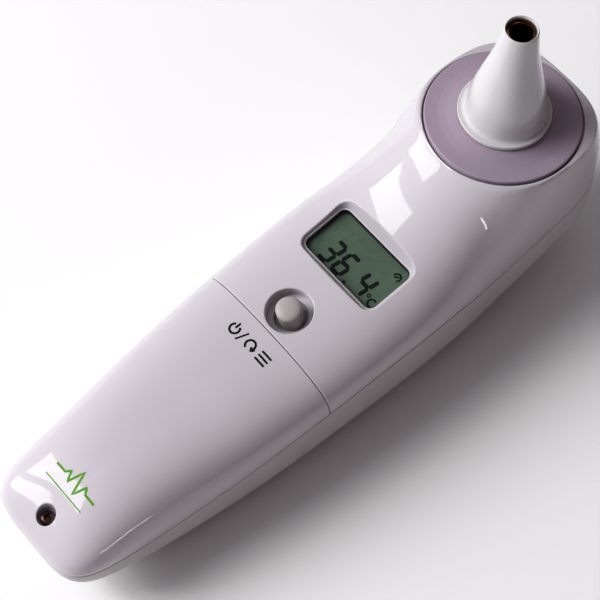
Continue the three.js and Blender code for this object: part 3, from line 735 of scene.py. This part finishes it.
def finish_piece(piece, body, slot, *nodes, look=None):
    """Gives the piece its slot's material or another look, its body and the CAD nodes it stands for."""
    piece.data.materials.append(MATERIALS[look or slot])
    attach(piece, body)
    if nodes:
        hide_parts(*nodes)


# -------- shells and door
def build_front_shell():
    """The head half of the face, with a thicker wall round the display, the button and the collar."""

    def under_display(x, y):
        tail_end, head_end, half_width = -9.2, 11.5, 13.6
        return (x > tail_end) & (x < head_end) & (np.abs(y) < half_width)

    def under_recall(x, y):
        return np.hypot(x - RECALL_X, y) < RECALL_WELL + well_wall

    def under_collar(x, y):
        return np.hypot(x, y) < COLLAR_RADIUS + 0.6

    well_wall = 1.6
    deck_bottom = -4.0
    pads = [
        (FACE, -DISPLAY_DEPTH - 0.1, under_display),
        (FACE, -RECALL_DEPTH - RECALL_FLOOR, under_recall),
        (PROBE, deck_bottom, under_collar),
    ]
    shell = shell_piece("front_shell_skin", True, pads, from_tail=False)
    carve(shell, recall_well(), display_recess(), collar_seat(), scan_opening("front_opening"))
    settle_normals(shell)
    finish_piece(shell, "housing", "shell_plastic", "front_shell")


def build_rear_shell():
    """The whole back, with bosses over the four shell screws and a recess for the label."""

    def over_screws(x, y):
        near = [np.hypot(x - sx, y - sy) < BOSS_RADIUS for sx, sy, _ in SHELL_SCREWS]
        return np.any(near, axis=0)

    middle = 100  # between the handle's two screws and the head's two
    handle_wall, head_wall = 11, 20.5  # inside heights of the thicker walls
    pads = [
        (UPRIGHT, handle_wall, lambda x, y: over_screws(x, y) & (x < middle)),
        (UPRIGHT, head_wall, lambda x, y: over_screws(x, y) & (x > middle)),
    ]
    shell = shell_piece("rear_shell_skin", False, pads)
    cutters = [scan_opening("rear_opening")]
    below, above = -5, 40  # clear of the shell on both sides
    well, hole = SHELL_SCREW_WELL, SHELL_SCREW_HOLE
    for index, (x, y, seat) in enumerate(SHELL_SCREWS):
        steps = ((well, below), (well, seat), (hole, seat), (hole, above))
        rings = [circle(radius, height, 48, x, y) for radius, height in steps]
        cutters.append(straight_cutter(f"screw_bore_{index}", UPRIGHT, rings))
    from_x, to_x, half = LABEL
    low, high = (from_x - GAP, -half - GAP), (to_x + GAP, half + GAP)
    corner = 1.2
    depth = 0.65
    rings = [rounded_rectangle(low, high, corner, height) for height in (-3, depth)]
    cutters.append(straight_cutter("label_recess", UPRIGHT, rings))
    carve(shell, *cutters)
    settle_normals(shell)
    finish_piece(shell, "housing", "rear_plastic", "rear_shell")


def build_door_boss():
    """The boss that the door screw bites into, standing on the inside of the rear shell."""
    foot = circle(BOSS_RADIUS, 0, 48, SCREW_X)
    into_wall = 0.8
    hole = 1.9
    hole_bottom = 10.8
    top = 16
    chamfer = 0.2
    for point in foot:
        point[2] = skin_along((point[0], point[1], 15), (0, 0, -1))[0].z + into_wall
    outline = [(BOSS_RADIUS, top - chamfer), (BOSS_RADIUS - chamfer, top), (hole + chamfer, top)]
    outline += [(hole, top - chamfer), (hole, hole_bottom)]
    rings = [foot, *(circle(radius, height, 48, SCREW_X) for radius, height in outline)]
    finish_piece(lofted("door_boss", rings), "housing", "rear_plastic")


def build_battery_door():
    """The tail half of the face, with a thicker wall under the screw's head."""

    def under_screw(x, y):
        return np.hypot(x - SCREW_X, y) < SCREW_BORE + 1.6

    seat_wall = 1.7
    pads = [(UPRIGHT, SCREW_SEAT - seat_wall, under_screw)]
    door = shell_piece("battery_door_skin", True, pads, to_head=False)
    carve(door, door_counterbore())
    settle_normals(door)
    finish_piece(door, "battery_door", "shell_plastic", "battery_door")


def build_door_tongues():
    """Two tongues that reach under the front shell and hold the door's head end down."""
    top = 26.0
    bottom = top - 1.3
    root = SEAM - 5
    tip = SEAM + 3
    outline = np.array([
        (root, top + 2.0),
        (SEAM - GAP, top + 2.0),
        (SEAM - GAP, top + 0.6),
        (SEAM, top),
        (tip - 0.6, top),
        (tip, top - 0.5),
        (tip, bottom + 0.3),
        (tip - 0.3, bottom),
        (root, bottom),
    ])
    middle = outline.mean(0)
    half_width = 2.5
    side_chamfer = 0.25
    pulled_in = 1 - side_chamfer / 4
    levels = ((-half_width, pulled_in), (side_chamfer - half_width, 1))
    levels += ((half_width - side_chamfer, 1), (half_width, pulled_in))
    for name, y in (("door_tongue_left", 9), ("door_tongue_right", -9)):
        rings = []
        for across, scale in levels:
            x, z = (middle + (outline - middle) * scale).T
            rings.append(np.stack([x, np.full(len(x), y + across), z], 1))
        finish_piece(lofted(name, rings), "battery_door", "shell_plastic")


# -------- probe
def build_cone():
    """The probe's cone, open from end to end, with a thin flange and a sleeve at its foot."""
    seat_bottom = -4.3
    bore, sleeve = PROBE_SLEEVE
    outer = [(9.2, PLINTH_TOP), (8.86, 2.85), (8.62, 3.6), (8.4, 5.5), (7.8, 9.5), (6.8, 13.5)]
    outer += [(5.6, 18), (4.7, 22), (4.1, 26), (3.72, 28.6)]
    foot = rounded_profile([
        (sleeve, PLINTH_BOTTOM, 0),
        (PLINTH_RADIUS, PLINTH_BOTTOM, 0.2),
        (PLINTH_RADIUS, PLINTH_TOP, 0.4),
    ])
    rim = [(3.66, 29.2), (3.55, 29.48), (3.4, TIP), (3.26, 29.5), (3.17, 29.25), (3.15, 29.0)]
    inside = [(3.15, 27.6), (TIP_BORE, 27.4), (TIP_BORE, 8.5), (bore, 5.9)]
    outline = [(bore, seat_bottom), (sleeve, seat_bottom), *foot, *smooth_line(outer, 44), *rim, *inside]
    cone = turned("probe_cone_skin", outline, PROBE, 128)
    finish_piece(cone, "housing", "probe_plastic", "probe_cone")


def build_collar():
    """The disc round the cone, nearly flat, rising a little under the cone's flange."""
    bore = 7.4
    bottom = -1.6
    top = PLINTH_BOTTOM - GAP
    edge = COLLAR_RADIUS
    rise = [(edge - 1.2, 0.06), (edge - 3.0, 0.2), (edge - 4.6, 0.52), (PLINTH_RADIUS + 0.9, 0.93)]
    corners = [
        (bore, bottom, 0),
        (edge, bottom, 0),
        (edge, 0.0, 0.32),
        *[(radius, height, 0.25) for radius, height in rise],
        (PLINTH_RADIUS, top, 0.2),
        (bore, top, 0),
    ]
    outline = rounded_profile(corners, 7)
    collar = turned("probe_collar_skin", outline, PROBE, 160)
    finish_piece(collar, "housing", "collar_plastic", "probe_collar")


def build_wave_guide():
    """The gold tube in the probe, flared at its mouth, and a dark ring painting the shade in the tip's
    bore.
    """
    outline = [(2.28, 3.2), (2.65, 3.2), (2.65, 27.8), (2.82, 28.3), (2.8, 28.5), (2.6, 28.55)]
    outline += [(2.52, 28.4), (2.45, 27.8), (2.28, 26.5)]
    guide = turned("wave_guide_skin", outline, PROBE, 72)
    finish_piece(guide, "housing", "gold", "wave_guide")

    # a dark brown sleeve between the gold tube and the tip: painted shade of the bore's inner wall
    outline = [(TIP_BORE, 27.7), (3.12, 27.7), (3.12, 29.0), (3.08, 29.05), (TIP_BORE, 28.9)]
    painted_shade = turned("tip_shade_sleeve", outline, PROBE, 72)
    finish_piece(painted_shade, "housing", "inner_black", look="bore_shade_brown")


# -------- buttons and the door screw
def build_recall_button():
    """A domed cap, with a flange that holds it behind the well's floor and a pip for the switch."""
    flange_top = -RECALL_DEPTH - RECALL_FLOOR - GAP
    flange_bottom = flange_top - 0.8
    flange = 4.4
    pip = 1.2
    pip_end = flange_top - 2.0
    dome = 0.95
    shoulder = RECALL_TOP - dome
    outline = [(0, pip_end), (pip, pip_end), (pip, flange_bottom), (flange, flange_bottom)]
    outline += [(flange, flange_top), (RECALL_CAP, flange_top)]
    outline += [(RECALL_CAP, shoulder - 0.5), (RECALL_CAP * 0.997, shoulder - 0.2)]
    for angle in np.linspace(0.12, math.pi / 2, 16):
        outline.append((RECALL_CAP * math.cos(angle) ** 0.8, shoulder + dome * math.sin(angle)))
    outline[-1] = (0, RECALL_TOP)
    button = turned("recall_button_cap", outline, RECALL, 80, angle=50)
    finish_piece(button, "recall_button", "button_grey", "recall_button")


def build_scan_button():
    """A wide oval cap that follows the head end, a flange behind the wall and a pip for the switch."""
    half_width, half_height = SCAN_HALF
    segments = 96
    flange_end = SCAN_FLANGE + 0.9
    past = 1.1  # the flange's reach past the cap
    pip = 1.2
    edge_round = 0.35
    edge_part = 0.012  # the part of the cap's size that its rounded edge takes up
    unit = circle(1, 0, segments)
    rings = []
    for x, y_size, z_size in (
        (SCAN_FLANGE - 1.2, pip, pip),
        (SCAN_FLANGE, pip, pip),
        (SCAN_FLANGE, half_width + past, half_height + past),
        (flange_end, half_width + past, half_height + past),
        (flange_end, half_width, half_height),
    ):
        y, z = unit[:, 0] * y_size, unit[:, 1] * z_size + SCAN_Z
        rings.append(np.stack([np.full(segments, x), y, z], 1))
    for size in (1, 0.997, 0.988, 0.97, 0.94, 0.9, 0.84, 0.76, 0.66, 0.54, 0.4, 0.26, 0.12):
        edge = edge_round * (1 - min((1 - size) / edge_part, 1)) ** 2
        y = unit[:, 0] * size * half_width
        z = unit[:, 1] * size * half_height + SCAN_Z
        skin = [skin_along((HEAD_CENTRE, *place), (1, 0, 0))[0].x for place in zip(y, z)]
        rings.append(np.stack([np.array(skin) + SCAN_PROUD * (1 - size**6) - edge, y, z], 1))
    button = lofted("scan_button_cap", rings, angle=50)
    finish_piece(button, "scan_button", "button_green", "scan_button")


def build_door_screw():
    """A pan-head screw with a cross recess and a threaded shank."""
    shank = 0.9
    core = shank * 0.78
    bottom = 12.6
    head_side = 0.35
    dome = 0.95
    head_bottom = SCREW_TOP - head_side - dome
    outline = [(0, bottom), (0.35, bottom), (shank * 0.8, bottom + 0.9)]
    pitch = 0.7
    height = bottom + 1.2
    while height < head_bottom - 1.2:
        for radius, part in ((core, 0), (shank, 0.4), (shank, 0.55), (core, 0.95)):
            outline.append((radius, height + pitch * part))
        height += pitch
    outline += [(shank, head_bottom - 0.6), (shank, head_bottom), (SCREW_HEAD, head_bottom)]
    for angle in np.linspace(0.2, math.pi / 2, 9):
        radius = SCREW_HEAD * math.cos(angle) ** 0.6
        outline.append((radius, head_bottom + head_side + dome * math.sin(angle)))
    outline[-1] = (0, SCREW_TOP)
    screw = turned("door_screw_turned", outline, SCREW, 64)
    arms = []
    for index in range(2):
        turn = SCREW @ Matrix.Rotation(math.radians(20 + 90 * index), 4, "Z")
        rings = []
        for z, length, width in ((SCREW_TOP - 0.85, 0.35, 0.16), (SCREW_TOP + 0.4, 1.05, 0.3)):
            rings.append(rounded_rectangle((-length, -width), (length, width), width * 0.5, z, 2, 2))
        arms.append(straight_cutter(f"recess_{index}", turn, rings))
    carve(screw, *arms)
    screw.data.shade_smooth()
    screw.data.set_sharp_from_angle(angle=math.radians(SHARP_ANGLE))
    finish_piece(screw, "door_screw", "screw_brown", "door_screw")


# -------- display
def display_plate(name, half_x, half_y, corner, bottom, top, chamfer):
    """A flat plate behind the display's opening, with chamfered edges."""
    outline = rounded_rectangle((-half_x, -half_y), (half_x, half_y), corner, 0)
    levels = ((bottom, chamfer), (bottom + chamfer, 0), (top - chamfer, 0), (top, chamfer))
    rings = [move_points(FACE, shrunk(outline, inset) + (0, 0, z)) for z, inset in levels]
    return lofted(name, rings)


def build_display():
    """The clear window and the display glass behind it."""
    window = display_plate("display_window_pane", 7.0, 11.8, 0.8, -3.3, -2.3, 0.12)
    finish_piece(window, "housing", "window_clear", "display_window")
    panel = display_plate("lcd_panel_glass", 7.2, 12.0, 0.5, -5.4, GLASS_TOP, 0.15)
    finish_piece(panel, "housing", "display_glass", "lcd_panel")


def build_painted_display_shade():
    """A black border round the display glass: painted shade of the gap between the window and the glass.
    """
    outer = rounded_rectangle((-6.9, -11.8), (6.9, 11.8), 0.6, 0)
    inner = rounded_rectangle((-5.95, -10.75), (5.95, 10.75), 1.6, 0)
    top = GLASS_TOP + 0.04
    levels = ((outer, GLASS_TOP), (outer, top), (inner, top), (inner, GLASS_TOP), (outer, GLASS_TOP))
    rings = [move_points(FACE, ring + (0, 0, z)) for ring, z in levels]
    finish_piece(lofted("display_painted_shade", rings, closed_ends=False), "housing", "inner_black")


# -------- printed marks and display segments
def stroke(path, width, place, thickness=0.03, sink=0.05):
    """A thin printed line along a path in (u, v), laid on a surface by place(u, v)."""
    path = np.array(path, float)
    tangent = np.gradient(path, axis=0)
    tangent /= np.linalg.norm(tangent, axis=1, keepdims=True)
    side = np.stack([-tangent[:, 1], tangent[:, 0]], 1)
    widths = np.broadcast_to(width, len(path)) / 2
    rings = []
    for point, across, half in zip(path, side, widths):
        ring = []
        for sign, lift in ((1, thickness), (-1, thickness), (-1, -sink), (1, -sink)):
            u, v = point + across * half * sign
            spot, normal = place(u, v)
            ring.append(spot + normal * lift)
        rings.append(np.array(ring))
    return loft(rings)


def printed(name, strokes, place, ink, body, slot, **settings):
    """One mesh from many strokes."""
    points = np.empty((0, 3))
    faces = []
    for path, width in strokes:
        more, quads = stroke(path, width, place, **settings)
        faces += [tuple(i + len(points) for i in face) for face in quads]
        points = np.concatenate([points, more])
    finish_piece(new_piece(name, points, faces), body, slot, look=ink)


def arc(u, v, radius, start, end, steps=28):
    """Part of a circle, with angles in degrees."""
    angles = np.radians(np.linspace(start, end, steps))
    return np.stack([u + radius * np.cos(angles), v + radius * np.sin(angles)], 1)


def line(*corners, steps=6):
    """A broken straight line with extra points along it."""
    path = []
    for a, b in zip(corners, corners[1:]):
        for i in range(steps):
            path.append(np.array(a) + (np.array(b) - np.array(a)) * i / steps)
    path.append(np.array(corners[-1], float))
    return path


def on_face(u, v):
    """Printed marks read across the handle: u runs to the right of the handle, v towards the head."""
    place, normal = skin_above(v, -u)
    return np.array(place), np.array(normal)


def on_display(u, v):
    """The same directions on the display glass, measured from its middle."""
    return np.array(FACE @ Vector((v, -u, GLASS_TOP))), np.array(FACE.to_3x3() @ Vector((0, 0, 1)))


DIGIT_SEGMENTS = {"3": "abcdg", "4": "bcfg", "6": "acdefg"}


def digit(character, u, v, width, height, thick, slant=0.16):
    """The strokes of a seven-segment digit whose lower left corner is at (u, v)."""
    gap = thick * 0.12
    taper = thick * 0.3
    middle = height / 2
    ends = {
        "a": ((0, height), (width, height)),
        "b": ((width, height), (width, middle)),
        "c": ((width, middle), (width, 0)),
        "d": ((0, 0), (width, 0)),
        "e": ((0, 0), (0, middle)),
        "f": ((0, middle), (0, height)),
        "g": ((0, middle), (width, middle)),
    }
    strokes = []
    for segment in DIGIT_SEGMENTS[character]:
        start, end = (np.array(point, float) for point in ends[segment])
        way = (end - start) / np.linalg.norm(end - start)
        start, end = start + way * gap, end - way * gap
        length = np.linalg.norm(end - start)
        path = [start + way * stop for stop in (0, taper, length - taper, length)]
        path = [(u + x + slant * y, v + y) for x, y in path]
        strokes.append((path, np.array([0.2, 1, 1, 0.2]) * thick))
    return strokes


def build_display_reading():
    """A number with its point, a degree sign and letter, and a small sound sign."""
    strokes = []
    for character, u in (("3", -7.3), ("6", -3.0), ("4", 3.3)):
        strokes += digit(character, u, v=-5.2, width=2.6, height=5.4, thick=0.95)
    strokes.append((line((1.15, -5.4), (1.85, -5.4), steps=2), 0.75))
    strokes.append((arc(7.6, -3.5, 0.36, 0, 360, 17), 0.3))
    strokes.append((arc(9.3, -4.3, 0.9, 55, 305, 20), 0.5))
    strokes.append((arc(8.6, 3.6, 0.85, -60, 190, 18), 0.42))
    strokes.append((line((8.1, 3.2), (8.9, 4.0)), 0.42))
    film = {"thickness": 0.02, "sink": 0.02}
    printed("display_reading", strokes, on_display, "ink_lcd", "housing", "display_glass", **film)


def build_button_icons():
    """Power, slash, repeat and list marks beside the seam, in place of a printed word."""
    v = 59.6
    strokes = [
        (arc(-4.6, v, 1.15, 125, 415), 0.5),
        (line((-4.6, v + 0.2), (-4.6, v + 1.7)), 0.5),
        (line((-2.7, v - 1.5), (-1.6, v + 1.5)), 0.42),
        (arc(0.6, v, 1.15, -30, 250), 0.5),
        (line((1.1, v - 0.1), (1.65, v - 0.9), (2.2, v - 0.1)), 0.45),
    ]
    for index in range(3):
        height = v - 1.05 + 1.05 * index
        strokes.append((line((3.3, height), (6.2, height)), 0.46))
    printed("button_icons", strokes, on_face, "ink_black", "battery_door", "shell_plastic")


def build_tail_mark():
    """A green pulse line over a rule near the tail."""
    v = 13.6
    beat = line(
        (-6.4, v), (-3.6, v), (-2.7, v + 1.1), (-1.7, v - 1.0), (-0.4, v + 2.9), (1.1, v - 2.0),
        (2.3, v + 1.2), (3.2, v), (6.0, v), steps=4,
    )
    strokes = [(beat, 0.5), (line((-6.6, v - 2.9), (5.2, v - 2.9), steps=20), 0.24)]
    printed("tail_mark", strokes, on_face, "ink_green", "battery_door", "shell_plastic")


# -------- assembly
build_front_shell()
build_rear_shell()
build_door_boss()
build_battery_door()
build_door_tongues()
build_cone()
build_collar()
build_wave_guide()
build_recall_button()
build_scan_button()
build_door_screw()
build_display()
# painted shade round the display's opening
build_painted_display_shade()
build_display_reading()
build_button_icons()
build_tail_mark()

slots = {row["node"]: row["material_slot"] for row in frame["record"]["subparts"]}
for node_name, node in frame["nodes"].items():
    node.data.materials.clear()
    node.data.materials.append(MATERIALS[slots[node_name]])
    node.data.shade_smooth()
    node.data.set_sharp_from_angle(angle=math.radians(SHARP_ANGLE))


# -------- stage, camera and light
def build_floor():
    """A pale matt floor just under the thermometer."""
    size = 3.0
    mesh = bpy.data.meshes.new("floor")
    corners = [(-size, -size, 0), (size, -size, 0), (size, size, 0), (-size, size, 0)]
    mesh.from_pydata(corners, [], [(0, 1, 2, 3)])
    floor = bpy.data.objects.new("floor", mesh)
    floor.location.z = -0.0002
    bpy.context.scene.collection.objects.link(floor)
    material, shader, where = base_material("floor")
    tone = mixed(material, noise(material, where, 6), (0.86, 0.86, 0.865), (0.83, 0.83, 0.84))
    material.node_tree.links.new(tone, shader.inputs["Base Color"])
    shader.inputs["Roughness"].default_value = 0.75
    mesh.materials.append(material)


def build_camera():
    """Looks steeply down at the middle of the thermometer, from the right of its tail."""
    low, high = Vector(cad_low), Vector(cad_high)
    target = Vector((low.x + 0.4958 * (high.x - low.x), 0.0013, 0.373 * high.z))
    azimuth, elevation, roll = math.radians(-36.98), math.radians(62.91), math.radians(-3.37)
    distance = 0.41325
    forward = Vector((
        math.cos(elevation) * math.cos(azimuth + math.pi / 2),
        math.cos(elevation) * math.sin(azimuth + math.pi / 2),
        -math.sin(elevation),
    ))
    right = Vector((math.cos(azimuth), math.sin(azimuth), 0))
    up = right.cross(forward)
    rolled_right = right * math.cos(roll) + up * math.sin(roll)
    rolled_up = up * math.cos(roll) - right * math.sin(roll)
    data = bpy.data.cameras.new("camera")
    data.sensor_width = 36
    data.lens = 116.8
    data.clip_start = 0.02
    camera = bpy.data.objects.new("camera", data)
    axes = Matrix((rolled_right, rolled_up, -forward)).transposed().to_4x4()
    camera.matrix_world = Matrix.Translation(target - forward * distance) @ axes
    bpy.context.scene.collection.objects.link(camera)
    bpy.context.scene.camera = camera


def area_light(name, direction, distance, size, power, run=(0, 0, 1), aim=(0.02, 0, 0.03)):
    """A rectangular light facing the object from a direction, with its long side along run."""
    data = bpy.data.lights.new(name, "AREA")
    data.shape = "RECTANGLE"
    data.size, data.size_y = size
    data.energy = power
    light = bpy.data.objects.new(name, data)
    away = Vector(direction).normalized()
    side = Vector(run)
    side = (side - side.dot(away) * away).normalized()
    turn = Matrix((side, away.cross(side), away)).transposed().to_4x4()
    light.matrix_world = Matrix.Translation(Vector(aim) + away * distance) @ turn
    bpy.context.scene.collection.objects.link(light)
    return light


def build_world():
    """Soft light from the left that fades to a dark right side, with no edge to show in the gloss."""
    world = bpy.data.worlds.new("studio")
    world.use_nodes = True
    where = add_node(world, "ShaderNodeTexCoord").outputs["Generated"]
    inputs = {0: where, 1: (-0.45, 0.8, 0.4)}
    side = add_node(world, "ShaderNodeVectorMath", inputs, operation="DOT_PRODUCT").outputs["Value"]
    spread = add_node(world, "ShaderNodeMapRange", {"Value": side, "From Min": -0.3, "From Max": 0.8})
    shade = mixed(world, spread.outputs["Result"], (0.05, 0.028, 0.034), (0.44, 0.43, 0.44))
    world.node_tree.links.new(shade, world.node_tree.nodes["Background"].inputs["Color"])
    bpy.context.scene.world = world


def build_lights():
    """A broad light that the gloss doesn't show, and two panes and a thin strip that it does."""
    key = area_light("key", (-0.56, 0.56, 0.62), 1.1, (0.8, 0.6), 10.5)
    key.visible_glossy = False
    panes = {"run": (0.15, 0.56, -0.36), "aim": (0.045, 0, 0.045)}
    area_light("pane_low", (-0.50, 0.55, 0.67), 2.0, (1.35, 0.36), 6.5, **panes)
    area_light("pane_high", (-0.62, 0.58, 0.46), 2.0, (1.2, 0.26), 4.2, **panes)
    strip = {"run": (0.24, -0.13, -0.24), "aim": (-0.06, 0, 0.02)}
    area_light("tail_strip", (-0.22, -0.93, 0.27), 0.6, (0.24, 0.012), 0.1, **strip)


build_floor()
build_camera()
build_world()
build_lights()
view = bpy.context.scene.view_settings
view.view_transform = "Standard"
view.look = "Medium High Contrast"
